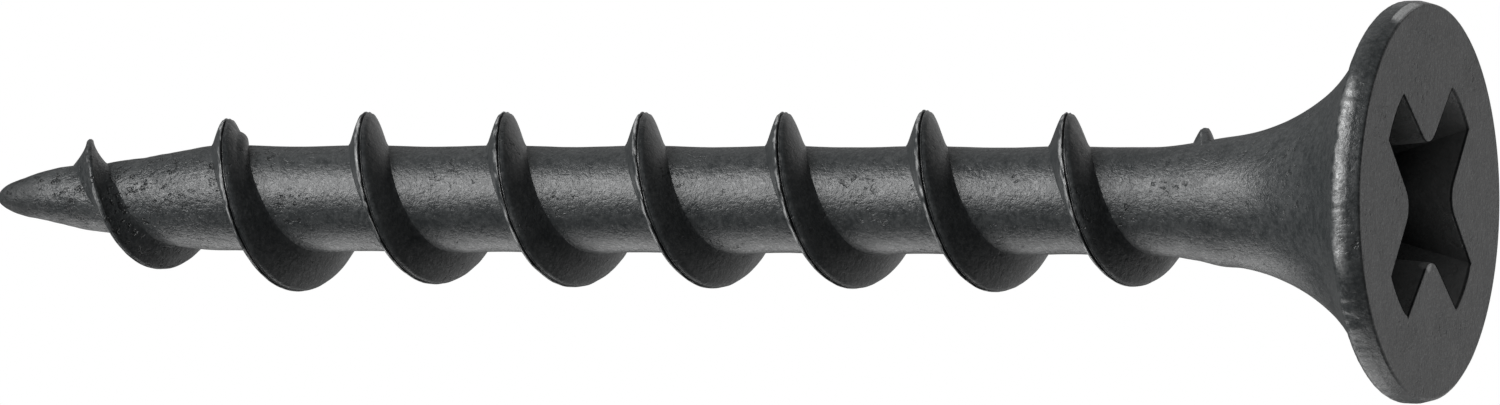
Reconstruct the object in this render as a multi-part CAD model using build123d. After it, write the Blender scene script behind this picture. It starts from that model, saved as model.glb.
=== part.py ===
from build123d import *
from math import atan2, cos, degrees, radians, sin, sqrt, tan
import os

# Wood screw: bugle head with a cross recess, cylindrical core, coarse right-hand thread and a
# tapered point. The real screw is one piece of steel, split here into the features that its
# forming makes: head, shank, thread and point. They meet face to face.
#
# Frame: +X runs along the axis and out of the head, the point is at -X and +Z is up. The origin
# is the centre of the flat head face. Sizes are in millimetres and degrees.

# ---- overall
overall_length = 32.0
core_diameter = 2.2

# ---- head: flat face, rim, trumpet flare and tapered neck
head_diameter = 8.1
rim_height = 0.6         # from the face to where the flare would meet the rim without rounding
rim_taper_height = 0.25  # stretch next to the face over which the rim narrows a little
rim_taper = 0.06         # how much smaller in radius the rim is at the face
face_edge_round = 0.08
rim_round = 0.2          # rounded corner between the rim and the flare
flare_radius = 4.5       # concave arc of the trumpet
flare_rise = 0.19        # how much larger in radius than the core the arc's lowest point is
neck_angle = 7.0         # half-angle of the taper that joins the core to the flare

# ---- cross recess
recess_span = 5.25       # across the tips of two opposite wings, at the face
wing_width = 1.24        # at the tip of a wing
wing_spread = 3.6        # how much each side of a wing leans outward towards the middle
valley_round = 0.5       # rounding where two wings meet
wall_draft = 3.0         # lean of the wing sides with depth
wing_slope = 26.5        # lean of the wing tips from the axis
wing_depth = 2.6         # from the face to the foot of the wing tips
bottom_angle = 68.0      # half-angle of the conical bottom
recess_turn = 48.2       # angle of the first wing from +Y, towards +Z
past_bottom = 0.3        # how far the drafted walls run on below the bottom before they are cut

# ---- thread
thread_pitch = 3.131
crest_diameter = 3.62
crest_land = 0.1         # width of the flat along the crest
root_width = 0.9         # axial width of the ridge where it meets the core
start_to_tip = 0.92      # from the tip to where the ridge begins
start_angle = -60.0      # where the ridge begins, from +Y towards +Z
rise_turns = 5 / 12      # part of a turn over which the ridge rises from the point
first_crest_diameter = 2.5   # crest diameter at the end of that rise
full_crest_to_tip = 6.7  # from the tip to where the crest is full size
runout_to_face = 7.2     # from the head face to where the crest begins to fall
fade_to_face = 4.95      # from the head face to where the ridge begins to drop away
fade_crest_diameter = 3.24   # crest diameter there
end_to_face = 4.45       # from the head face to where the ridge is gone
end_height = 0.03        # height of the ridge's two ends, where it merges with the core
points_per_turn = 24     # points on each helical edge

# ---- point: taper and blunt nose
point_angle = 9.1        # half-angle of the taper
nose_length = 0.94
nose_diameter = 0.94     # at the foot of the nose

# ---- derived sizes
core_radius = core_diameter / 2
head_radius = head_diameter / 2
crest_radius = crest_diameter / 2
nose_radius = nose_diameter / 2
tip_x = -overall_length
nose_x = tip_x + nose_length
point_x = nose_x + (core_radius - nose_radius) / tan(radians(point_angle))
full_height = crest_radius - core_radius
thread_x = tip_x + start_to_tip

# The flare is an arc about (flare_x, flare_r). It meets the rim at the rim's foot, and the neck
# leaves it on a tangent.
flare_r = core_radius + flare_rise + flare_radius
flare_x = -rim_height - sqrt(flare_radius ** 2 - (flare_r - head_radius) ** 2)
flare_top_angle = degrees(atan2(-rim_height - flare_x, flare_r - head_radius))


def flare_point(angle):
    """Point of the flare's arc, as (x, radius), where its slope has this angle to the axis."""
    x = flare_x + flare_radius * sin(radians(angle))
    r = flare_r - flare_radius * cos(radians(angle))
    return x, r


neck_top_x, neck_top_r = flare_point(neck_angle)
neck_x = neck_top_x - (neck_top_r - core_radius) / tan(radians(neck_angle))


def body_radius(x):
    """Radius of the bare body, without its thread, at x on the point's taper, core or neck."""
    if x < point_x:
        return core_radius - (point_x - x) * tan(radians(point_angle))
    if x < neck_x:
        return core_radius
    if x < neck_top_x:
        return core_radius + (x - neck_x) * tan(radians(neck_angle))
    return flare_r - sqrt(flare_radius ** 2 - (x - flare_x) ** 2)


def turned(outline):
    """Solid of revolution about the X axis. The outline holds (x, radius) in the XY plane."""
    return revolve(make_face(outline), Axis.X)


# ---- head
def make_recess():
    """The recess as a solid: a cross with drafted walls, within a cone with a shallow bottom."""
    tip = recess_span / 2
    half_tip = wing_width / 2
    half_root = half_tip + tip * tan(radians(wing_spread))
    wing = Polygon((0, -half_root), (tip, -half_tip), (tip, half_tip), (0, half_root), align=None)
    cross = Sketch() + [Rot(Z=quarter * 90) * wing for quarter in range(4)]
    valleys = cross.vertices().sort_by_distance((0, 0, 0))[:4]
    cross = fillet(valleys, valley_round)

    foot = tip - wing_depth * tan(radians(wing_slope))
    bottom_x = -wing_depth - foot / tan(radians(bottom_angle))
    cone = turned(Polyline((0, 0), (0, tip), (-wing_depth, foot), (bottom_x, 0), close=True))

    into_head = Plane(origin=(0, 0, 0), x_dir=(0, 1, 0), z_dir=(-1, 0, 0))
    walls = extrude(into_head * cross, amount=past_bottom - bottom_x, taper=wall_draft)
    return Rot(X=recess_turn) * (walls & cone)


def make_head():
    """Face, rim, flare and neck turned as one, with the recess cut into the face."""
    face_corner = (0, head_radius - rim_taper)
    rim_middle = (-rim_taper_height, head_radius)
    rim_foot = (-rim_height, head_radius)
    middle_angle = (neck_angle + flare_top_angle) / 2
    outline = Polyline((neck_x, core_radius), (neck_x, 0), (0, 0), face_corner, rim_middle, rim_foot)
    outline += ThreePointArc(rim_foot, flare_point(middle_angle), flare_point(neck_angle))
    outline += Line(flare_point(neck_angle), (neck_x, core_radius))
    section = make_face(outline)
    for corner, size in ((face_corner, face_edge_round), (rim_foot, rim_round)):
        section = fillet(section.vertices().sort_by_distance(corner)[0], size)
    return revolve(section, Axis.X) - make_recess()


# ---- shank
def make_shank():
    """The cylindrical core between the point's taper and the neck."""
    corners = (point_x, 0), (neck_x, 0), (neck_x, core_radius), (point_x, core_radius)
    return turned(Polyline(*corners, close=True))


# ---- point
def make_point():
    """The taper with a blunt nose, whose outline leaves the taper on a tangent."""
    tangent_x = (tip_x + nose_x) / 2
    tangent_r = nose_radius - (nose_x - tangent_x) * tan(radians(point_angle))
    nose_foot = (nose_x, nose_radius)
    outline = Bezier((tip_x, 0), (tip_x, nose_radius / 2), (tangent_x, tangent_r), nose_foot)
    outline += Polyline(nose_foot, (point_x, core_radius), (point_x, 0), (tip_x, 0))
    return turned(outline)


# ---- thread
def crest_radius_at(x):
    """Radius of the crest: it grows along the point, runs level, and falls on the neck."""
    first_radius = first_crest_diameter / 2
    first_x = thread_x + rise_turns * thread_pitch
    full_x = tip_x + full_crest_to_tip
    growing = first_radius + (crest_radius - first_radius) * (x - first_x) / (full_x - first_x)
    drop = crest_radius - fade_crest_diameter / 2
    falling = crest_radius - drop * (x + runout_to_face) / (runout_to_face - fade_to_face)
    return min(growing, crest_radius, falling)


def eased(share):
    """Smooth step from 0 to 1 while the share goes from 0 to 1."""
    share = min(max(share, 0), 1)
    return share * share * (3 - 2 * share)


def ridge_section(turn):
    """Four corners of the ridge as (x, radius), from its root on the point's side to the other."""
    x = thread_x + turn * thread_pitch
    rise = eased(turn / rise_turns)
    fade = eased((-end_to_face - x) / (fade_to_face - end_to_face))
    height = max((crest_radius_at(x) - body_radius(x)) * rise * fade, end_height)
    share = min(height / full_height, 1)
    half_land = crest_land / 2
    half_root = half_land + (root_width - crest_land) / 2 * share
    crest_r = body_radius(x) + height
    return (
        (x - half_root, body_radius(x - half_root)),
        (x - half_land, crest_r),
        (x + half_land, crest_r),
        (x + half_root, body_radius(x + half_root)),
    )


def make_thread():
    """The ridge as one solid: four helical edges, ruled strips between them and two end faces."""
    turns = (-end_to_face - thread_x) / thread_pitch
    steps = round(turns * points_per_turn)
    rails = [[] for corner in ridge_section(0)]
    for step in range(steps + 1):
        turn = turns * step / steps
        angle = radians(start_angle + 360 * turn)
        for rail, (x, r) in zip(rails, ridge_section(turn)):
            rail.append(Vector(x, r * cos(angle), r * sin(angle)))
    places = [step / steps for step in range(steps + 1)]
    edges = [Edge.make_spline(rail, parameters=places) for rail in rails]
    strips = [Face.make_surface_from_curves(*pair) for pair in zip(edges, edges[1:] + edges[:1])]
    ends = [Face(Wire.make_polygon([rail[end] for rail in rails])) for end in (0, -1)]
    return Solid(Shell(strips + ends))


# ---- build
os.makedirs("parts", exist_ok=True)
pieces = {
    "head": make_head(),
    "shank": make_shank(),
    "thread": make_thread(),
    "point": make_point(),
}
for name, piece in pieces.items():
    export_step(piece, f"parts/{name}.step")
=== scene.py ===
from math import atan2, cos, pi, radians, sin, sqrt, tan

import bmesh
import bpy
import numpy as np
from bpy.props import FloatProperty, FloatVectorProperty, PointerProperty
from mathutils import Matrix, Vector, noise


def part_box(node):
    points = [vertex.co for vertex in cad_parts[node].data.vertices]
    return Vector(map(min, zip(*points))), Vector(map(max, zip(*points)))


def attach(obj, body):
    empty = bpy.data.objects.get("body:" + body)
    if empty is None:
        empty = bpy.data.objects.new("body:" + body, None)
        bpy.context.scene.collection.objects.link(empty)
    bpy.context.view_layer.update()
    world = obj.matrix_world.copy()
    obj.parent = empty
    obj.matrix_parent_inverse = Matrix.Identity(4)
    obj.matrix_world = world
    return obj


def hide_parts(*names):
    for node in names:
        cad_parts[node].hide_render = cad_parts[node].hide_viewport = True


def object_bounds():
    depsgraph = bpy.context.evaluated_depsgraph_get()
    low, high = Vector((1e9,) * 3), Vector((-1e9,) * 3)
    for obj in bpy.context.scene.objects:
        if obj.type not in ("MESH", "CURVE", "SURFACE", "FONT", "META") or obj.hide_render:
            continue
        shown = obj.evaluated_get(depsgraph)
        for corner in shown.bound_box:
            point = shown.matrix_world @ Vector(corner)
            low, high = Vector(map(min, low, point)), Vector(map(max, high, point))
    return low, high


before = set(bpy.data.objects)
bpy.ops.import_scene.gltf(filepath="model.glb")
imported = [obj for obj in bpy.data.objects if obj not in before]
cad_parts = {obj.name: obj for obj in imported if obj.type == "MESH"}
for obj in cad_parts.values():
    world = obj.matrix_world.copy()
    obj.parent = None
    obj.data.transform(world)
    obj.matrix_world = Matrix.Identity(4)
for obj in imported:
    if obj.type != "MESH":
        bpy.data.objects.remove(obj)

bl_info = {
    "name": "Bugle Head Wood Screw",
    "version": (1, 0, 0),
    "blender": (4, 5, 0),
    "location": "View3D > Sidebar > Screw",
    "description": "Models a phosphated wood screw around its fixed frame",
    "category": "Add Mesh",
}

# The frame: +X runs along the axis and out of the head, and the origin is the centre of the flat
# head face. Lengths are in metres, so sizes are written as millimetres times MM. A place round
# the axis is an angle from +Y towards +Z.
MM = 0.001

cad_low, cad_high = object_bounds()
NECK_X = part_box("head")[0].x
HEAD_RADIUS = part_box("head")[1].z
TAPER_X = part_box("shank")[0].x
CORE_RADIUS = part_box("shank")[1].z
TIP_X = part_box("point")[0].x
CREST_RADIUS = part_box("thread")[1].z


# ---- sizes and finishes that a user would change

def length(name, description, millimetres):
    """A length property, whose default is given in millimetres."""
    return FloatProperty(
        name=name, description=description, default=millimetres * MM, unit="LENGTH", precision=5
    )


def angle(name, description, value):
    """An angle property, whose default is given in degrees."""
    return FloatProperty(name=name, description=description, default=radians(value), unit="ROTATION")


def share(name, description, value):
    """A plain number property."""
    return FloatProperty(name=name, description=description, default=value, precision=4)


def colour(name, description, value):
    """A colour property."""
    return FloatVectorProperty(
        name=name, description=description, default=value, size=3, subtype="COLOR", min=0, max=1
    )


class ScrewHeadSizes(bpy.types.PropertyGroup):
    """Sizes of the bugle head and its cross recess."""

    neck_angle: angle("Neck Angle", "Half-angle of the taper under the flare", 7.0)
    flare_radius: length("Flare Radius", "Radius of the trumpet's concave arc", 4.5)
    flare_rise: length("Flare Rise", "How far the arc's lowest point is above the core", 0.19)
    rim_height: length("Rim Height", "From the face to the sharp foot of the rim", 0.6)
    bead_radius: length("Bead Radius", "Rounding between the flare and the rim", 0.25)
    band_height: length("Band Height", "Height of the conical band next to the face", 0.27)
    band_lean: length("Band Lean", "How much smaller the radius is at the face", 0.07)
    edge_round: length("Edge Round", "Rounding of the face's edge", 0.06)
    bead_dent: length("Bead Dents", "Depth of the dents in the bead", 0.038)
    recess_span: length("Recess Span", "Across the tips of two opposite wings", 5.25)
    wing_width: length("Wing Width", "Width of a wing at its tip", 1.24)
    wing_spread: angle("Wing Spread", "Lean of a wing's sides towards the middle", 3.6)
    valley_round: length("Valley Round", "Rounding where two wings meet", 0.5)
    wing_slope: angle("Wing Slope", "Lean of the wing tips from the axis", 26.5)
    wing_depth: length("Wing Depth", "From the face to the foot of the wing tips", 2.6)
    bottom_angle: angle("Bottom Angle", "Half-angle of the conical bottom", 68.0)
    recess_turn: angle("Recess Turn", "Angle of the first wing", 48.2)
    recess_taper: share("Recess Taper", "How much the cross shrinks to its bottom", 0.24)
    mouth_bevel: length("Mouth Bevel", "Softened edge of the recess", 0.03)


class ScrewThreadSizes(bpy.types.PropertyGroup):
    """Sizes of the helical ridge."""

    pitch: length("Pitch", "Axial distance from one turn to the next", 3.131)
    start_to_tip: length("Start", "From the tip to where the ridge begins", 0.92)
    end_to_face: length("End", "From the face to where the ridge is gone", 4.45)
    start_angle: angle("Start Angle", "Where the ridge begins round the axis", -60.0)
    land: length("Land", "Half-width of the rounded crest", 0.060)
    tip_side_root: length("Tip Side Root", "Half-width of the root on the tip's side", 0.42)
    head_side_root: length("Head Side Root", "Half-width of the root on the head's side", 0.465)
    tip_side_belly: share("Tip Side Belly", "Below one, that flank bulges", 0.78)
    head_side_belly: share("Head Side Belly", "Below one, that flank bulges", 0.72)
    seam_depth: length("Seam Depth", "Depth of the closed groove along the crest", 0.06)
    wobble: length("Wobble", "How uneven the crest is", 0.012)
    rise_turns: share("Rise", "Part of a turn over which the ridge rises from the point", 5 / 12)
    first_crest: length("First Crest", "Crest radius where the ridge has just risen", 1.25)
    full_to_tip: length("Full Crest", "From the tip to where the crest is full size", 6.7)
    runout_to_face: length("Run-out", "From the face to where the crest begins to fall", 7.2)
    runout_slope: share("Run-out Slope", "How steeply the crest falls there", 0.0844444)
    waist: length("Waist", "How much the core swells towards the ridge's root", 0.016)


class ScrewPointSizes(bpy.types.PropertyGroup):
    """Sizes of the tapered point."""

    taper: angle("Taper", "Half-angle of the point", 9.1)
    nose_length: length("Nose Length", "Length of the blunt nose", 0.94)
    nose_radius: length("Nose Radius", "Radius at the foot of the nose", 0.47)
    taper_blend: length("Taper Blend", "Length over which the core turns into the taper", 0.8)
    nose_bend: length("Nose Bend", "How far the nose is bent up", 0.02)


class ScrewFinish(bpy.types.PropertyGroup):
    """Colours and roughness of the phosphated steel."""

    coat: colour("Coat", "Dark phosphate", (0.016, 0.0185, 0.0195))
    bloom: colour("Bloom", "Paler crystals on the phosphate", (0.040, 0.043, 0.044))
    # The steel colour also stands for painted light on the thread's lips and on the recess walls.
    steel: colour("Steel", "Where the coat is rubbed thin", (0.42, 0.425, 0.425))
    roughness: share("Roughness", "Roughness of the coat", 0.38)
    grain: share("Grain", "Strength of the crystal grain", 1.0)


class ScrewStage(bpy.types.PropertyGroup):
    """Camera and lights."""

    camera_distance: length("Camera Distance", "From the camera to the middle of the screw", 300)
    camera_turn: angle("Camera Turn", "How far the camera stands to the head's side", 23.43)
    camera_roll: angle("Camera Roll", "Roll of the camera", 0.184)
    aim_x: length("Aim X", "Where the camera looks along the axis", -14.88)
    aim_z: length("Aim Z", "How far below the axis the camera looks", -0.05)
    lens: share("Lens", "Focal length in millimetres", 351.8)
    key: share("Key Light", "Radiance of the soft box in front", 7.4)
    under: share("Under Light", "Radiance of the light below", 1.65)
    back: share("Back Light", "Radiance of the soft box behind", 0.33)
    low: share("Low Light", "Radiance of the soft box low behind", 0.46)
    top: share("Top Light", "Radiance of the soft box above", 0.20)
    room: share("Room Light", "Radiance of the room", 0.125)


GROUPS = {
    "screw_head": ScrewHeadSizes,
    "screw_thread": ScrewThreadSizes,
    "screw_point": ScrewPointSizes,
    "screw_finish": ScrewFinish,
    "screw_stage": ScrewStage,
}


# ---- the screw's form as formulas, shared by the pieces

def eased(value):
    """Smooth step from 0 to 1 while the value goes from 0 to 1."""
    value = np.clip(value, 0, 1)
    return value * value * (3 - 2 * value)


def hump(value, middle, half_width):
    """A smooth hump: 1 at the middle and 0 from half a width away."""
    return eased(1 - np.abs(value - middle) / half_width)


def rough(points, size, seed=0.0):
    """Smooth noise from -1 to 1 at each point, with lumps of about this size."""
    shift = Vector((seed * 17.3, seed * 5.1, seed * 11.7))
    return np.array([noise.noise(Vector(point) / size + shift) for point in points])


def flare_centre(head):
    """Centre of the flare's arc, as (x, radius)."""
    r = CORE_RADIUS + head.flare_rise + head.flare_radius
    x = -head.rim_height - sqrt(head.flare_radius ** 2 - (r - HEAD_RADIUS) ** 2)
    return x, r


def body_radius(x):
    """Radius of the plain body at each x, on the point's taper, the core, neck and flare."""
    scene = bpy.context.scene
    head, point = scene.screw_head, scene.screw_point
    back = np.maximum(TAPER_X + point.taper_blend / 2 - x, 0)
    taper = tan(point.taper) * np.where(
        back < point.taper_blend,
        back ** 2 / (2 * point.taper_blend),
        back - point.taper_blend / 2,
    )
    # The neck leaves the core level and meets the flare's arc at the arc's own slope.
    flare_x, flare_r = flare_centre(head)
    arc_x = flare_x + head.flare_radius * sin(head.neck_angle)
    arc_r = flare_r - head.flare_radius * cos(head.neck_angle)
    part = np.clip((x - NECK_X) / (arc_x - NECK_X), 0, 1)
    neck = (arc_r - CORE_RADIUS) * part ** 2 * (3 - 2 * part)
    neck = neck - tan(head.neck_angle) * (arc_x - NECK_X) * part ** 2 * (1 - part)
    on_arc = np.clip(x - flare_x, 0, head.flare_radius * 0.8)
    flare = flare_r - np.sqrt(head.flare_radius ** 2 - on_arc ** 2)
    return np.where(x > arc_x, flare, CORE_RADIUS + neck - taper)


def turn_at(x, round_angle):
    """Turns of the helix at each place: whole numbers lie on the ridge's crest line."""
    thread = bpy.context.scene.screw_thread
    return (x - TIP_X - thread.start_to_tip) / thread.pitch - (
        round_angle - thread.start_angle
    ) / (2 * pi)


def swell(x, round_angle):
    """How far the core rises towards the root of the ridge that winds round it."""
    thread = bpy.context.scene.screw_thread
    threaded = eased((x - TIP_X - 1.5 * MM) / (2 * MM)) * eased((NECK_X - 0.3 * MM - x) / MM)
    return thread.waist * threaded * np.cos(2 * pi * turn_at(x, round_angle))


def swollen(points):
    """The points moved out from the axis by the swell. Points on the axis stay."""
    round_angle, radius = polar(points)
    out = swell(points[:, 0], round_angle) * np.minimum(radius / (0.3 * MM), 1)
    moved = points.copy()
    moved[:, 1] += out * np.cos(round_angle)
    moved[:, 2] += out * np.sin(round_angle)
    return moved


# ---- modelling by hand: each helper is a few strokes in edit mode

def deselect():
    """Leaves edit mode and deselects every object."""
    if bpy.context.mode != "OBJECT":
        bpy.ops.object.mode_set(mode="OBJECT")
    bpy.ops.object.select_all(action="DESELECT")


def activate(piece):
    """Makes one object the only selected and the active one."""
    deselect()
    piece.select_set(True)
    bpy.context.view_layer.objects.active = piece


def drawn(name, points, closed=False):
    """A new object in edit mode: a line of edges from point to point, or the face within it."""
    deselect()
    bpy.ops.mesh.primitive_plane_add(size=0.1 * MM, location=points[0])
    piece = bpy.context.active_object
    piece.name = name
    bpy.ops.object.transform_apply(location=True)
    bpy.ops.object.mode_set(mode="EDIT")
    bpy.ops.mesh.select_mode(type="VERT")
    bpy.ops.mesh.select_all(action="SELECT")
    bpy.ops.mesh.merge(type="CENTER")
    for here, there in zip(points, points[1:]):
        step = Vector(there) - Vector(here)
        bpy.ops.mesh.extrude_region_move(TRANSFORM_OT_translate={"value": step})
    if closed:
        bpy.ops.mesh.select_all(action="SELECT")
        bpy.ops.mesh.edge_face_add()
    return piece


def choose(test):
    """Selects the edited piece's vertices whose place passes the test, and flushes the rest."""
    mesh = bmesh.from_edit_mesh(bpy.context.edit_object.data)
    for vertex in mesh.verts:
        vertex.select_set(bool(test(vertex.co)))
    mesh.select_flush(True)
    bmesh.update_edit_mesh(bpy.context.edit_object.data)


def close_end(x):
    """Fills the open ring at this x with one face."""
    bpy.ops.mesh.select_all(action="DESELECT")
    choose(lambda place: abs(place.x - x) < 0.001 * MM)
    bpy.ops.mesh.edge_face_add()


def turned(name, outline, steps):
    """A solid turned about the X axis from (x, radius) points, with both ends closed."""
    piece = drawn(name, [(x, r, 0) for x, r in outline])
    bpy.ops.mesh.select_all(action="SELECT")
    bpy.ops.mesh.spin(steps=steps, angle=2 * pi, center=(0, 0, 0), axis=(1, 0, 0))
    bpy.ops.mesh.select_all(action="SELECT")
    bpy.ops.mesh.remove_doubles(threshold=0.0005 * MM)
    for x, r in (outline[0], outline[-1]):
        if r > 0.001 * MM:
            close_end(x)
    bpy.ops.mesh.select_all(action="SELECT")
    bpy.ops.mesh.normals_make_consistent(inside=False)
    bpy.ops.object.mode_set(mode="OBJECT")
    return piece


def places(piece):
    """The piece's vertices as an array of x, y and z."""
    flat = np.zeros(len(piece.data.vertices) * 3)
    piece.data.vertices.foreach_get("co", flat)
    return flat.reshape(-1, 3)


def put_places(piece, points):
    """Moves the piece's vertices."""
    piece.data.vertices.foreach_set("co", points.ravel())
    piece.data.update()


def normals(piece):
    """The piece's vertex normals."""
    flat = np.zeros(len(piece.data.vertices) * 3)
    piece.data.vertices.foreach_get("normal", flat)
    return flat.reshape(-1, 3)


def polar(points):
    """Angle round the axis and radius of each point."""
    return np.arctan2(points[:, 2], points[:, 1]), np.hypot(points[:, 1], points[:, 2])


def mark(piece, name, values):
    """Keeps one number for each vertex, which the material reads."""
    attribute = piece.data.attributes.new(name, "FLOAT", "POINT")
    attribute.data.foreach_set("value", np.asarray(values, dtype=np.float32))


def finish_piece(piece, node, material, sharp=35.0):
    """Smooths the piece, gives it its finish and ties it to the frame."""
    activate(piece)
    bpy.ops.object.shade_smooth_by_angle(angle=radians(sharp))
    piece.data.materials.clear()
    piece.data.materials.append(material)
    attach(piece, "root")
    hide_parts(node)


def arc(centre, radius, start, end, step):
    """Points of an arc as (x, radius), with angles from the +X direction."""
    count = max(2, round(abs(end - start) * radius / step))
    return [
        (centre[0] + radius * cos(turn), centre[1] + radius * sin(turn))
        for turn in np.linspace(start, end, count + 1)
    ]


# ---- finish

class Value:
    """A number socket that takes part in sums: each operator adds a Math node."""

    def __init__(self, graph, socket):
        self.graph = graph
        self.socket = socket

    def math(self, operation, *values, clamp=False):
        settings = {"operation": operation, "use_clamp": clamp}
        return self.graph.add("ShaderNodeMath", settings, dict(enumerate(values)))

    def __add__(self, other):
        return self.math("ADD", self, other)

    __radd__ = __add__

    def __sub__(self, other):
        return self.math("SUBTRACT", self, other)

    def __rsub__(self, other):
        return self.math("SUBTRACT", other, self)

    def __mul__(self, other):
        return self.math("MULTIPLY", self, other)

    __rmul__ = __mul__

    def clamped(self):
        return self.math("ADD", self, 0.0, clamp=True)

    def above(self, low, high):
        """0 below low, 1 above high and smooth in between."""
        settings = {"interpolation_type": "SMOOTHSTEP"}
        inputs = {"Value": self, "From Min": low, "From Max": high}
        return self.graph.add("ShaderNodeMapRange", settings, inputs)


class Graph:
    """One material's node tree."""

    def __init__(self, tree):
        self.tree = tree
        tree.nodes.clear()

    def add(self, kind, settings=None, inputs=None, output=0):
        """Adds a node: its settings first, then the values or links of its sockets."""
        node = self.tree.nodes.new(kind)
        for name, value in (settings or {}).items():
            setattr(node, name, value)
        for name, value in (inputs or {}).items():
            if isinstance(value, Value):
                self.tree.links.new(value.socket, node.inputs[name])
            else:
                node.inputs[name].default_value = value
        return Value(self, node.outputs[output]) if node.outputs else None

    def mix_colours(self, factor, low, high):
        """A colour between two colours or links."""
        inputs = {0: factor}
        for socket, value in ((6, low), (7, high)):
            inputs[socket] = value if isinstance(value, Value) else (*value, 1)
        return self.add("ShaderNodeMix", {"data_type": "RGBA"}, inputs, output=2)


def lumps(graph, place, size, detail=2.0, seed=0.0, stretch=None):
    """Noise from 0 to 1 with lumps of about this size in millimetres."""
    scale = [1 / (size * MM)] * 3 if stretch is None else [1 / (size * MM * s) for s in stretch]
    moved = graph.add(
        "ShaderNodeMapping", None,
        {"Vector": place, "Scale": scale, "Location": (seed * 3.7, seed * 9.1, seed * 5.3)},
    )
    inputs = {"Vector": moved, "Scale": 1.0, "Detail": detail, "Roughness": 0.55}
    return graph.add("ShaderNodeTexNoise", None, inputs)


def phosphate(name, grain=1.0, rubbing_and_painted_light=None):
    """Dark phosphated steel: crystal grain, paler bloom, pits, places rubbed to the steel, and the
    same steel colour as painted light.
    """
    scene = bpy.context.scene
    finish = scene.screw_finish
    material = bpy.data.materials.new(name)
    material.use_nodes = True
    graph = Graph(material.node_tree)
    place = graph.add("ShaderNodeTexCoord", output=3)

    # The point is rougher and more pitted, and the flare is smoother.
    along = graph.add("ShaderNodeSeparateXYZ", None, {"Vector": place})
    pointward = 1 - along.above(TAPER_X - 1.5 * MM, TAPER_X + 2.5 * MM)
    flareward = along.above(-4.6 * MM, -2.8 * MM)
    tipward = 1 - along.above(TIP_X + 0.3 * MM, TIP_X + 1.7 * MM)
    neckward = along.above(-8.5 * MM, -6.5 * MM) * (1 - flareward)
    coarse = 1.1 + pointward * 0.9 + neckward * 0.3 - flareward * 0.3

    crystals = lumps(graph, place, 0.075, 3.0)
    clusters = lumps(graph, place, 0.21, 3.0, seed=1.0)
    patches = lumps(graph, place, 1.1, 3.0, seed=2.0)
    fine = lumps(graph, place, 0.030, 1.0, seed=3.0)
    mottles = (lumps(graph, place, 0.40, 2.0, seed=5.0) - 0.5) * (0.35 + pointward + neckward * 0.6)

    # Pits lie in patches, with one group of cracks on the third turn.
    cracked = graph.add(
        "ShaderNodeVectorMath", {"operation": "DISTANCE"},
        {0: place, 1: (-24.7 * MM, -1.09 * MM, -0.2 * MM)}, output=1,
    )
    pitted = (patches + pointward * 0.2).above(0.50, 0.70)
    pitted = (pitted + 1 - cracked.above(0.2 * MM, 0.55 * MM)).clamped()
    blots = lumps(graph, place, 0.13, 2.5, seed=4.0, stretch=(1.5, 1.0, 1.0))
    pits = blots.above(0.57, 0.66) * pitted

    # Pale crystals over the dark coat. The pits are darker and so is the tip.
    bloom = crystals * 0.45 + clusters * 0.40 + patches * 0.30 - mottles * 0.25
    bloom = bloom.above(0.42, 0.74)
    base = graph.mix_colours(bloom, finish.coat, finish.bloom)
    base = graph.mix_colours(pits * 0.7 + tipward * 0.5, base, [c * 0.4 for c in finish.coat])

    relief = crystals * 0.45 + clusters * 0.50 + fine * 0.20 - pits * 0.7
    roughness = finish.roughness + (clusters - 0.5) * 0.22 + (patches - 0.5) * 0.12
    roughness = roughness + (crystals - 0.5) * 0.20 + mottles * 0.32
    roughness = roughness + tipward * 0.30 + neckward * 0.04
    metallic = 0.0
    # Paler, partly metallic steel where the coat is rubbed, and the same steel as painted light on
    # the thread's lips and the recess walls.
    if rubbing_and_painted_light is not None:
        bare_and_painted_light = rubbing_and_painted_light(graph, place, crystals, clusters)
        base = graph.mix_colours(bare_and_painted_light, base, finish.steel)
        metallic = bare_and_painted_light * 0.4
        roughness = roughness + bare_and_painted_light * 0.05
        coarse = coarse + bare_and_painted_light * 0.9
    bump = graph.add(
        "ShaderNodeBump", None,
        {"Strength": 1.0, "Distance": 0.028 * MM * grain * finish.grain,
         "Height": relief * coarse},
    )
    glints = (crystals * 0.6 + fine * 0.4).above(0.48, 0.66) * (0.45 - tipward * 0.25)
    shader = graph.add(
        "ShaderNodeBsdfPrincipled", None,
        {"Base Color": base, "Roughness": roughness, "Metallic": metallic, "Normal": bump,
         "Specular IOR Level": 0.45, "Coat Weight": glints, "Coat Roughness": 0.30},
    )
    graph.add("ShaderNodeOutputMaterial", None, {"Surface": shader})
    return material


def rubbed(graph, place, crystals, clusters):
    """Rubbing, and on the thread's lips a painted highlight, kept on the vertices and broken up by
    the crystals.
    """
    wear = graph.add("ShaderNodeAttribute", {"attribute_name": "wear"}, output=2)
    return (wear * (0.30 + clusters * 0.8 + crystals * 0.6)).above(0.25, 1.0) * 0.8


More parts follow.
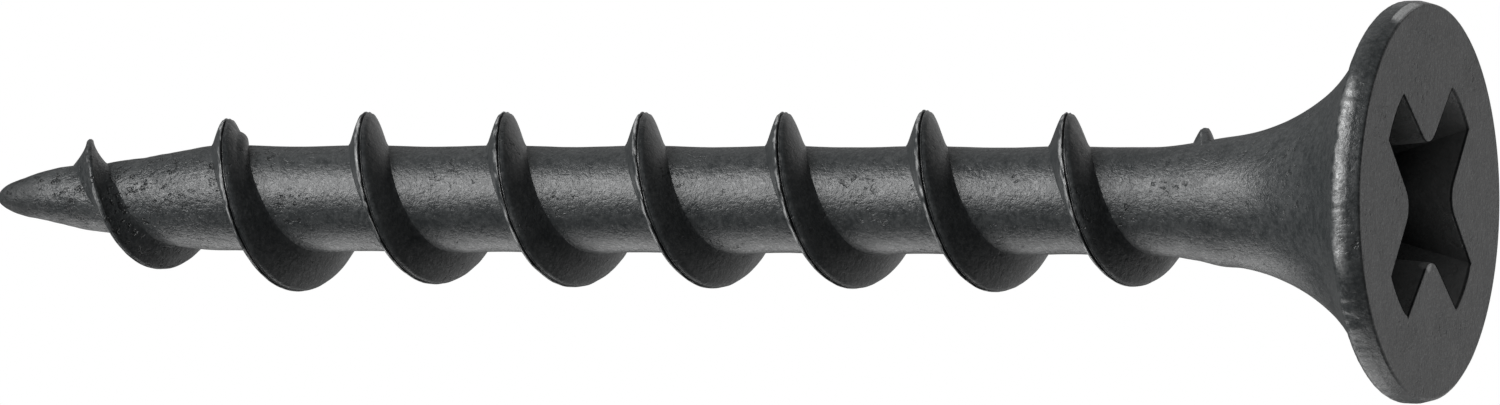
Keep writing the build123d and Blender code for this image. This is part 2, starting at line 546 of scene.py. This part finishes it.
def head_rubbing_and_painted_light(graph, place, crystals, clusters):
    """The head's rubbed bead and band, a nick in the lower valley of the recess, and painted light
    on the recess walls.
    """
    along = graph.add("ShaderNodeSeparateXYZ", None, {"Vector": place})
    across = graph.add("ShaderNodeVectorMath", {"operation": "MULTIPLY"}, {0: place, 1: (0, 1, 1)})
    radius = graph.add("ShaderNodeVectorMath", {"operation": "LENGTH"}, {0: across}, output=1)
    inside = 1 - radius.above(2.66 * MM, 2.72 * MM)
    # Painted light: the recess walls are paler near the mouth and darker deeper in, as if light fell
    # into the recess.
    walls = along.above(-1.5 * MM, -0.15 * MM) * (1 - along.above(-0.07 * MM, -0.03 * MM)) * inside
    painted_wall_light = walls * (0.30 + clusters * 0.2)
    face = along.above(-0.02 * MM, -0.01 * MM) * (clusters * 0.6 + crystals * 0.4).above(0.42, 0.68)
    nick = graph.add(
        "ShaderNodeVectorMath", {"operation": "DISTANCE"},
        {0: place, 1: (-0.04 * MM, -0.10 * MM, -1.24 * MM)}, output=1,
    )
    spot = 1 - (nick * 1000 + (crystals - 0.5) * 0.12).above(0.10, 0.20)
    bare_and_painted_light = rubbed(graph, place, crystals, clusters) + spot * 0.8 + painted_wall_light + face * 0.025
    return bare_and_painted_light.clamped()


# ---- operators, one for each piece

class SCREW_OT_head(bpy.types.Operator):
    """Turn the neck, flare, rim and face, and cut the cross recess"""

    bl_idname = "screw.head"
    bl_label = "Head"

    def outline(self, head):
        """From the foot of the neck to the edge of the face."""
        step = 0.055 * MM
        flare_x, flare_r = flare_centre(head)
        bead = head.bead_radius
        bead_r = HEAD_RADIUS - bead
        bead_x = flare_x + sqrt((head.flare_radius + bead) ** 2 - (flare_r - bead_r) ** 2)
        meet = atan2(bead_r - flare_r, bead_x - flare_x)
        arc_start = flare_x + head.flare_radius * sin(head.neck_angle)
        neck = [(x, float(body_radius(x))) for x in np.arange(NECK_X, arc_start, step)]
        flare = arc((flare_x, flare_r), head.flare_radius, head.neck_angle - pi / 2, meet, step)
        rounding = arc((bead_x, bead_r), bead, meet + pi, pi / 2, 0.03 * MM)
        lean = atan2(head.band_lean, head.band_height)
        edge = head.edge_round
        band = [
            (x, HEAD_RADIUS - tan(lean) * (x + head.band_height))
            for x in np.linspace(-head.band_height, -edge, 6)
        ]
        corner_r = band[-1][1] - edge
        corner = arc((-edge, corner_r), edge, pi / 2 - lean, 0, 0.02 * MM)
        return neck + flare + rounding[1:] + band + corner[1:]

    def cross(self, head):
        """Points of the recess's outline at the mouth, wing by wing."""
        # The wings run on past the cone, which ends them.
        past = 0.05 * MM
        slope = tan(head.wing_spread)
        tip = head.recess_span / 2 + past
        half_tip = head.wing_width / 2 - past * slope
        half_root = half_tip + tip * slope
        valley = half_root / (1 + slope)
        # The rounding's centre lies on the diagonal, outside the cross.
        lean = head.wing_spread
        centre = valley * sqrt(2) + head.valley_round / cos(pi / 4 - lean)
        points = []
        for quarter in range(4):
            wing_turn = head.recess_turn + quarter * pi / 2
            for side, along in ((-1, tip), (1, tip)):
                y, z = along, side * half_tip
                points.append((y * cos(wing_turn) - z * sin(wing_turn),
                               y * sin(wing_turn) + z * cos(wing_turn)))
            middle = wing_turn + pi / 4
            reach = pi / 4 - lean
            for turn in np.linspace(-reach, reach, 7):
                facing = middle + pi - turn
                points.append((centre * cos(middle) + head.valley_round * cos(facing),
                               centre * sin(middle) + head.valley_round * sin(facing)))
        return [(0.0, y, z) for y, z in points]

    def cutter(self, head):
        """The recess as a solid: a drafted cross, kept inside a cone with a shallow bottom."""
        over = 0.2 * MM
        tip = head.recess_span / 2
        foot = tip - head.wing_depth * tan(head.wing_slope)
        bottom = head.wing_depth + foot / tan(head.bottom_angle)
        walls = drawn("recess_walls", self.cross(head), closed=True)
        deep = bottom + over
        bpy.ops.mesh.select_all(action="SELECT")
        bpy.ops.mesh.extrude_region_move(TRANSFORM_OT_translate={"value": (-deep, 0, 0)})
        shrink = 1 - head.recess_taper
        bpy.ops.transform.resize(value=(1, shrink, shrink), center_override=(-deep, 0, 0))
        bpy.ops.mesh.select_all(action="DESELECT")
        choose(lambda place: abs(place.x) < 0.001 * MM)
        bpy.ops.mesh.extrude_region_move(TRANSFORM_OT_translate={"value": (over, 0, 0)})
        bpy.ops.mesh.select_all(action="SELECT")
        bpy.ops.mesh.normals_make_consistent(inside=False)
        outline = [(-bottom, 0), (-head.wing_depth, foot), (0, tip), (over * 2, tip + over)]
        cone = turned("recess_cone", outline, 96)
        self.cut(walls, cone, "INTERSECT")
        return walls

    def cut(self, piece, tool, operation):
        """Applies a boolean with the tool, which is then removed."""
        activate(piece)
        bpy.ops.object.modifier_add(type="BOOLEAN")
        modifier = piece.modifiers[-1]
        modifier.operation = operation
        modifier.solver = "EXACT"
        modifier.object = tool
        bpy.ops.object.modifier_apply(modifier=modifier.name)
        bpy.data.objects.remove(tool)

    def roughen(self, piece, head):
        """Dents the bead, makes the neck and flare uneven, and marks where the coat is rubbed."""
        points = places(piece)
        round_angle, radius = polar(points)
        x, z = points[:, 0], points[:, 2]
        on_rim = eased((radius - 3.6 * MM) / (0.3 * MM))
        on_bead = on_rim * hump(x, -0.43 * MM, 0.34 * MM)
        free = eased((x - NECK_X) / (0.6 * MM)) * (x < -0.01 * MM)
        flat = points * np.array((0.6, 1, 1))
        dents = rough(flat, 0.125 * MM, 1) * 0.9 + rough(flat, 0.25 * MM, 2) * 0.4
        dents *= 0.3 + 0.7 * eased((3.3 * MM - np.abs(z)) / (0.8 * MM))
        waves = rough(points, 0.9 * MM, 3) * 0.006 * MM + rough(points, 0.3 * MM, 4) * 0.002 * MM
        move = waves * free + (dents - 0.15) * head.bead_dent * on_bead

        # A faint scored line runs round the front of the neck, with a low bulge below beside it.
        front = np.cos(round_angle - radians(190))
        scored = hump(x + 0.1 * MM * np.sin(round_angle * 2), -5.35 * MM, 0.16 * MM)
        move -= 0.016 * MM * scored * eased(front / 0.6)
        below = np.clip(-np.sin(round_angle), 0, 1) ** 2
        move += 0.03 * MM * hump(x, -4.45 * MM, 0.5 * MM) * below
        put_places(piece, points + normals(piece) * move[:, None])

        # The bead is rubbed along its middle, and the band in one place near the top.
        on_band = on_rim * (x > -0.22 * MM) * (x < -0.004 * MM)
        top_nick = hump(round_angle, radians(106), radians(15)) * on_band * 1.6
        reach = eased((2.9 * MM - z) / (0.7 * MM))
        reach *= 0.25 + 0.75 * eased((z + 2.0 * MM) / (1.4 * MM))
        wear = on_bead * reach * (0.66 + 0.5 * rough(points, 0.5 * MM, 5)) + top_nick
        mark(piece, "wear", np.clip(wear, 0, 1))

    def soften_mouth(self, piece, head):
        """Bevels the edge of the recess."""
        activate(piece)
        bpy.ops.object.mode_set(mode="EDIT")
        bpy.ops.mesh.select_mode(type="EDGE")
        bpy.ops.mesh.select_all(action="DESELECT")
        mesh = bmesh.from_edit_mesh(piece.data)
        mouth = [
            edge for edge in mesh.edges
            if all(abs(v.co.x) < 0.001 * MM and v.co.yz.length < 3 * MM for v in edge.verts)
            and abs(edge.calc_face_angle(0)) > radians(30)
        ]
        if len(mouth) < 16:
            raise RuntimeError("the recess has no mouth: the cut failed")
        for edge in mouth:
            edge.select_set(True)
        bmesh.update_edit_mesh(piece.data)
        bpy.ops.mesh.bevel(offset=head.mouth_bevel, segments=2, affect="EDGES")
        bpy.ops.object.mode_set(mode="OBJECT")

    def flatten_face(self, piece):
        """Shades the face flat right up to its rounded edges."""
        activate(piece)
        bpy.ops.object.mode_set(mode="EDIT")
        bpy.ops.mesh.select_mode(type="FACE")
        bpy.ops.mesh.select_all(action="DESELECT")
        mesh = bmesh.from_edit_mesh(piece.data)
        for face in mesh.faces:
            face.select_set(face.normal.x > 0.9999 and face.calc_center_median().x > -0.01 * MM)
        bmesh.update_edit_mesh(piece.data)
        bpy.ops.mesh.faces_shade_flat()
        bpy.ops.object.mode_set(mode="OBJECT")

    def execute(self, context):
        head = context.scene.screw_head
        piece = turned("screw_head", self.outline(head), 480)
        self.roughen(piece, head)
        self.cut(piece, self.cutter(head), "DIFFERENCE")
        self.soften_mouth(piece, head)
        finish_piece(piece, "head", phosphate("phosphate_head", rubbing_and_painted_light=head_rubbing_and_painted_light))
        self.flatten_face(piece)
        return {"FINISHED"}


class SCREW_OT_shank(bpy.types.Operator):
    """Turn the core between the point and the neck"""

    bl_idname = "screw.shank"
    bl_label = "Shank"

    def execute(self, context):
        stations = round((NECK_X - TAPER_X) / (0.065 * MM))
        outline = [
            (x, float(body_radius(x))) for x in np.linspace(TAPER_X, NECK_X, stations + 1)
        ]
        piece = turned("screw_shank", outline, 120)
        points = places(piece)
        x = points[:, 0]
        free = eased((x - TAPER_X) / (0.5 * MM)) * eased((NECK_X - x) / (0.5 * MM))
        move = rough(points, 0.7 * MM, 3) * 0.005 * MM + rough(points, 0.28 * MM, 4) * 0.002 * MM
        put_places(piece, swollen(points + normals(piece) * (move * free)[:, None]))
        finish_piece(piece, "shank", phosphate("phosphate_shank"))
        return {"FINISHED"}


class SCREW_OT_point(bpy.types.Operator):
    """Turn the taper and its blunt nose"""

    bl_idname = "screw.point"
    bl_label = "Point"

    def outline(self, point):
        """From the tip, round the nose as a Bezier curve, and along the taper to the core."""
        nose_x = TIP_X + point.nose_length
        middle_x = (TIP_X + nose_x) / 2
        start = Vector((TIP_X, 0))
        rise = Vector((TIP_X, point.nose_radius / 2))
        lean = Vector((middle_x, point.nose_radius - (nose_x - middle_x) * tan(point.taper)))
        end = Vector((nose_x, float(body_radius(nose_x))))
        nose = []
        for s in np.linspace(0, 1, 19)[:-1]:
            a, b, c, d = (1 - s) ** 3, 3 * s * (1 - s) ** 2, 3 * s * s * (1 - s), s ** 3
            spot = start * a + rise * b + lean * c + end * d
            nose.append((spot.x, spot.y))
        stations = round((TAPER_X - nose_x) / (0.055 * MM))
        taper = [(x, float(body_radius(x))) for x in np.linspace(nose_x, TAPER_X, stations + 1)]
        return nose + taper

    def execute(self, context):
        point = context.scene.screw_point
        piece = turned("screw_point", self.outline(point), 120)
        points = places(piece)
        round_angle = polar(points)[0]
        x = points[:, 0]
        free = eased((TAPER_X - x) / (0.6 * MM))
        move = rough(points, 0.5 * MM, 6) * 0.012 * MM + rough(points, 0.2 * MM, 7) * 0.008 * MM
        below = np.clip(-np.sin(round_angle), 0, 1) ** 2
        upper = np.clip(np.sin(round_angle), 0, 1) ** 2
        move += 0.02 * MM * hump(x, TIP_X + 2.0 * MM, 0.6 * MM) * below
        move += 0.09 * MM * hump(x, TIP_X + 1.5 * MM, 1.0 * MM) * upper
        points = swollen(points + normals(piece) * (move * free)[:, None])
        bent = eased((x - TIP_X) / (0.35 * MM)) * eased((TIP_X + 1.7 * MM - x) / (0.8 * MM))
        points[:, 2] += point.nose_bend * bent
        put_places(piece, points)
        finish_piece(piece, "point", phosphate("phosphate_point"), sharp=50)
        return {"FINISHED"}


class SCREW_OT_thread(bpy.types.Operator):
    """Wind the ridge's section round the core and shape it along its length"""

    bl_idname = "screw.thread"
    bl_label = "Thread"

    def section(self, thread):
        """The full ridge as (offset along the axis, share of the height), root to root."""
        span = np.linspace(0, 0.93, 15)
        sides = (
            (-1, thread.tip_side_root, thread.tip_side_belly),
            (1, thread.head_side_root, thread.head_side_belly),
        )
        rows = []
        for side, root, belly in sides:
            width = thread.land + (root - thread.land) * (1 - span) ** belly
            fillet = 0.02 * MM * np.clip(1 - span / 0.12, 0, 1) ** 2
            rows.append(list(zip(side * (width + fillet), span)))
        # Two lips with the closed seam between them. The tip's side stands a little higher.
        crest = [(-0.96, 0.96), (-0.80, 0.985), (-0.52, 1.0), (-0.26, 0.985), (-0.12, 0.94),
                 (0.46, 0.94), (0.58, 0.98), (0.74, 0.985), (0.93, 0.96)]
        crest = [(across * thread.land, height) for across, height in crest]
        sunk = [(thread.head_side_root * 0.9, -0.25), (-thread.tip_side_root * 0.9, -0.25)]
        return rows[0] + crest + rows[1][::-1] + sunk

    def crest_height(self, thread, turn, x):
        """Height of the crest above the plain body, all along the ridge."""
        first_x = TIP_X + thread.start_to_tip + thread.rise_turns * thread.pitch
        full_x = TIP_X + thread.full_to_tip
        growing = (CREST_RADIUS - thread.first_crest) * (x - first_x) / (full_x - first_x)
        growing = growing + thread.first_crest
        falling = CREST_RADIUS - thread.runout_slope * (x + thread.runout_to_face)
        crest = np.minimum(np.minimum(growing, CREST_RADIUS), falling)
        # Turns that stand higher or lower: the turn, the height in millimetres and the reach.
        high_spots = ((0.92, 0.055, 0.35), (1.42, 0.03, 0.4), (1.92, 0.12, 0.4),
                      (2.92, -0.05, 0.4), (6.42, 0.05, 0.4), (6.92, 0.05, 0.4))
        for middle, height, reach in high_spots:
            crest = crest + height * MM * hump(turn, middle, reach)
        rise = eased(turn / thread.rise_turns)
        fade = eased((-thread.end_to_face - x) / (0.5 * MM))
        return (crest - body_radius(x)) * rise * fade - 0.02 * MM * (1 - rise * fade)

    def execute(self, context):
        thread = context.scene.screw_thread
        full = CREST_RADIUS - CORE_RADIUS
        start_x = TIP_X + thread.start_to_tip
        turns = (-thread.end_to_face - start_x) / thread.pitch
        steps = round(turns * 190)
        outline = [
            (start_x + offset, (CORE_RADIUS + height * full) * cos(thread.start_angle),
             (CORE_RADIUS + height * full) * sin(thread.start_angle))
            for offset, height in self.section(thread)
        ]
        piece = drawn("screw_thread", outline, closed=True)
        bpy.ops.mesh.select_all(action="SELECT")
        bpy.ops.mesh.delete(type="ONLY_FACE")
        bpy.ops.object.mode_set(mode="OBJECT")
        bpy.ops.object.modifier_add(type="SCREW")
        winding = piece.modifiers[-1]
        winding.axis = "X"
        winding.angle = turns * 2 * pi
        winding.screw_offset = turns * thread.pitch
        winding.steps = steps
        winding.render_steps = steps
        winding.use_merge_vertices = False
        bpy.ops.object.modifier_apply(modifier=winding.name)

        points = places(piece)
        round_angle, radius = polar(points)
        part_turn = (round_angle - thread.start_angle) / (2 * pi)
        whole = np.round((points[:, 0] - start_x) / thread.pitch - part_turn)
        turn = part_turn + whole
        if turn.min() < -0.01 or turn.max() > turns + 0.01:
            raise RuntimeError("the ridge didn't wind as its pitch says")
        offset = points[:, 0] - start_x - turn * thread.pitch
        height = (radius - CORE_RADIUS) / full
        put_places(piece, self.shaped(thread, turn, offset, height, turns))
        mark(piece, "wear", self.wear(thread, turn, offset, height, round_angle))

        activate(piece)
        bpy.ops.object.mode_set(mode="EDIT")
        bpy.ops.mesh.select_mode(type="VERT")
        for end_x in (start_x, start_x + turns * thread.pitch):
            self.close(thread, end_x)
        bpy.ops.mesh.select_all(action="SELECT")
        bpy.ops.mesh.normals_make_consistent(inside=False)
        # A helix can come out inside out, as its outermost face may look along the axis.
        if bmesh.from_edit_mesh(piece.data).calc_volume(signed=True) < 0:
            bpy.ops.mesh.flip_normals()
        bpy.ops.object.mode_set(mode="OBJECT")
        finish_piece(piece, "thread", phosphate("phosphate_thread", grain=0.8, rubbing_and_painted_light=rubbed))
        return {"FINISHED"}

    def close(self, thread, end_x):
        """Fills the section at the end of the ridge that is near this x."""
        bpy.ops.mesh.select_all(action="DESELECT")
        mesh = bmesh.from_edit_mesh(bpy.context.edit_object.data)
        for edge in mesh.edges:
            if edge.is_boundary and abs(edge.verts[0].co.x - end_x) < thread.pitch / 2:
                edge.select_set(True)
        bmesh.update_edit_mesh(bpy.context.edit_object.data)
        bpy.ops.mesh.edge_face_add()

    def wear(self, thread, turn, offset, height, round_angle):
        """How far the lips of the crest are rubbed: in patches, and most on the tip's side. Towards
        the front the lips are paler still, a painted highlight.
        """
        across = offset / thread.land
        lips = np.where(across < 0, 0.9, 0.4) * eased((height - 0.90) / 0.05)
        lips = np.where(np.abs(across - 0.17) < 0.35, 0, lips)
        # Painted highlight: the lips are paler towards the front, where the camera and the key light
        # are, and least so at the back.
        lips = lips * (0.45 + 0.55 * eased(0.5 - np.cos(round_angle - radians(10))))
        lips = lips * (1 - 0.35 * (1 - eased((turn - 0.5) / 0.8)))
        line = np.stack([turn * 12, turn * 0, across * 0.4], axis=1)
        patchy = 0.62 + 0.7 * rough(line, 1.0, 9) + 1.3 * rough(line, 0.22, 10)
        return lips * np.clip(patchy, 0.05, 1.1)

    def shaped(self, thread, turn, offset, height, turns):
        """Places of the winding's vertices in the ridge's real form."""
        centre = TIP_X + thread.start_to_tip + turn * thread.pitch
        crest = self.crest_height(thread, turn, centre)
        size = np.minimum(crest / (CREST_RADIUS - CORE_RADIUS), 1)
        young = 1 - eased((turn - 0.5) / 0.8)
        ending = eased((turn - (turns - 0.45)) / 0.3)
        above = np.clip(height, 0, 1)
        across = offset / thread.land

        # Near the point the flanks are hollow, and the one on the tip's side is the wider.
        hollow = (1.001 - above) ** (young * 0.75)
        beside = np.maximum(np.abs(offset) - thread.land, 0) * (0.35 + 0.65 * size)
        beside = beside * hollow * (1 - 0.25 * ending)
        beside = beside * np.where(offset < 0, 1 + 0.35 * young, 1 - 0.18 * young)
        wide = np.sign(offset) * (np.minimum(np.abs(offset), thread.land) + beside)

        # A lump of metal lies against the head's side of one crest.
        shoulder = hump(turn, 1.44, 0.19) * (offset > 0) * (height > -0.1)
        step = 0.477 * MM * np.cbrt(1 - np.clip(above / 0.55, 0, 1) ** 3)
        wide = wide + np.maximum(step - wide, 0) * shoulder

        # Both ends of the ridge are drawn towards the tip, and the crest wanders a little.
        shift = -0.11 * MM * (1 - eased((turn - 0.9) / 1.1)) - 0.18 * MM * eased(
            (turn - (turns - 0.9)) / 0.7
        )
        line = np.stack([turn * 5, turn * 0, height * 0], axis=1)
        shift = shift + thread.wobble * rough(line, 1.0, 5) * above
        lip = np.stack([turn * 5, np.sign(offset) * 2, height * 0], axis=1)
        shift = shift + 0.010 * MM * rough(lip, 0.12, 7) * above ** 4
        x = centre + wide + shift
        lift = thread.wobble * (rough(line * 1.7, 1.0, 6) + 0.5 * rough(lip, 0.12, 3)) * above ** 2

        # The seam between the lips is open to a varying depth, and closed at both ends.
        seam = (np.abs(across - 0.17) < 0.32) * (height > 0.9)
        closed = np.clip(np.maximum(young * 1.2, ending * 1.5), 0, 1)
        rounded = height + (1 - 0.06 * across ** 2 - height) * closed
        height = np.where((np.abs(across) < 1) & (height > 0.9), rounded, height)
        open_seam = np.clip(0.55 + 1.1 * rough(line * 3.1, 1.0, 8), 0.05, 1) * (1 - closed)
        radius = body_radius(x) + height * crest + lift - seam * thread.seam_depth * open_seam

        # The foot follows the core's swell.
        round_angle = thread.start_angle + turn * 2 * pi
        foot = np.clip(1 - height / 0.2, 0, 1)
        radius = radius + (swell(x, round_angle) - 0.006 * MM) * foot
        return np.stack([x, radius * np.cos(round_angle), radius * np.sin(round_angle)], axis=1)


class SCREW_OT_stage(bpy.types.Operator):
    """Lay the floor and set up the lights and the camera"""

    bl_idname = "screw.stage"
    bl_label = "Stage"

    def soft_box(self, name, direction, distance, size, radiance):
        """A soft rectangular light that faces the middle of the screw."""
        stage = bpy.context.scene.screw_stage
        deselect()
        middle = Vector((stage.aim_x, 0, 0))
        bpy.ops.object.light_add(type="AREA", location=middle + direction.normalized() * distance)
        lamp = bpy.context.active_object
        lamp.name = name
        lamp.rotation_euler = direction.to_track_quat("Z", "Y").to_euler()
        lamp.data.shape = "RECTANGLE"
        lamp.data.size, lamp.data.size_y = size
        # The power goes with the area, so that a larger box is as bright.
        lamp.data.energy = radiance * size[0] * size[1] * 4
        lamp.visible_camera = False
        return lamp

    def floor(self):
        """A plain pale floor that takes no part in the light on the screw."""
        deselect()
        bpy.ops.mesh.primitive_circle_add(
            vertices=96, radius=0.9, fill_type="NGON", location=(0, 0, cad_low.z - 0.002 * MM)
        )
        floor = bpy.context.active_object
        floor.name = "floor"
        material = bpy.data.materials.new("pale_floor")
        material.use_nodes = True
        graph = Graph(material.node_tree)
        glow = graph.add("ShaderNodeEmission", None, {"Color": (1, 1, 1, 1), "Strength": 1.0})
        graph.add("ShaderNodeOutputMaterial", None, {"Surface": glow})
        floor.data.materials.append(material)
        floor.visible_diffuse = False
        floor.visible_glossy = False
        floor.visible_shadow = False

    def room(self, radiance):
        """Dim grey room light, with a white background for the camera."""
        world = bpy.data.worlds.new("room")
        bpy.context.scene.world = world
        world.use_nodes = True
        graph = Graph(world.node_tree)
        seen = graph.add("ShaderNodeLightPath", output=0)
        tone = graph.mix_colours(seen, [radiance] * 3, (1, 1, 1))
        light = graph.add("ShaderNodeBackground", None, {"Color": tone, "Strength": 1.0})
        graph.add("ShaderNodeOutputWorld", None, {"Surface": light})

    def camera(self, stage):
        """The camera stands a little to the head's side and looks level at the screw."""
        deselect()
        bpy.ops.object.camera_add()
        camera = bpy.context.active_object
        camera.name = "camera"
        back = Vector((sin(stage.camera_turn), -cos(stage.camera_turn), 0))
        right = Vector((cos(stage.camera_turn), sin(stage.camera_turn), 0))
        up = Vector((0, 0, 1))
        roll = stage.camera_roll
        across = right * cos(roll) + up * sin(roll)
        above = up * cos(roll) - right * sin(roll)
        camera.matrix_world = Matrix.Translation(
            Vector((stage.aim_x, 0, stage.aim_z)) + back * stage.camera_distance
        ) @ Matrix((across, above, back)).transposed().to_4x4()
        camera.data.lens = stage.lens
        camera.data.sensor_width = 36
        camera.data.clip_start = 0.01
        camera.data.clip_end = 10
        bpy.context.scene.camera = camera

    def execute(self, context):
        stage = context.scene.screw_stage
        self.floor()
        self.room(stage.room)
        key = Vector((-0.55, -0.76, 0.43))
        self.soft_box("key_light", key, 0.35, (0.24, 0.30), stage.key)
        self.soft_box("under_light", Vector((-0.38, 0.30, -1)), 0.20, (0.16, 0.27), stage.under)
        self.soft_box("back_light", Vector((0.27, 0.94, 0.22)), 0.35, (0.52, 0.30), stage.back)
        self.soft_box("low_light", Vector((0.50, 0.78, -0.52)), 0.35, (0.50, 0.29), stage.low)
        self.soft_box("top_light", Vector((-0.40, 0.50, 0.80)), 0.35, (0.32, 0.30), stage.top)
        self.camera(stage)
        context.scene.view_settings.view_transform = "Standard"
        return {"FINISHED"}


class SCREW_PT_panel(bpy.types.Panel):
    """Lists the screw's pieces and their sizes"""

    bl_idname = "SCREW_PT_panel"
    bl_label = "Wood Screw"
    bl_space_type = "VIEW_3D"
    bl_region_type = "UI"
    bl_category = "Screw"

    def draw(self, context):
        for operator in OPERATORS:
            self.layout.operator(operator.bl_idname)
        for name, group in GROUPS.items():
            box = self.layout.box()
            box.label(text=group.__doc__)
            for size in group.__annotations__:
                box.prop(getattr(context.scene, name), size)


OPERATORS = (SCREW_OT_head, SCREW_OT_shank, SCREW_OT_thread, SCREW_OT_point, SCREW_OT_stage)


def register():
    for kind in (*GROUPS.values(), *OPERATORS, SCREW_PT_panel):
        bpy.utils.register_class(kind)
    for name, group in GROUPS.items():
        setattr(bpy.types.Scene, name, PointerProperty(type=group))


def unregister():
    for name in GROUPS:
        delattr(bpy.types.Scene, name)
    for kind in (SCREW_PT_panel, *reversed(OPERATORS), *GROUPS.values()):
        bpy.utils.unregister_class(kind)


def main():
    """Builds the screw and its stage."""
    register()
    bpy.ops.screw.head()
    bpy.ops.screw.shank()
    bpy.ops.screw.thread()
    bpy.ops.screw.point()
    bpy.ops.screw.stage()


if __name__ == "__main__":
    main()
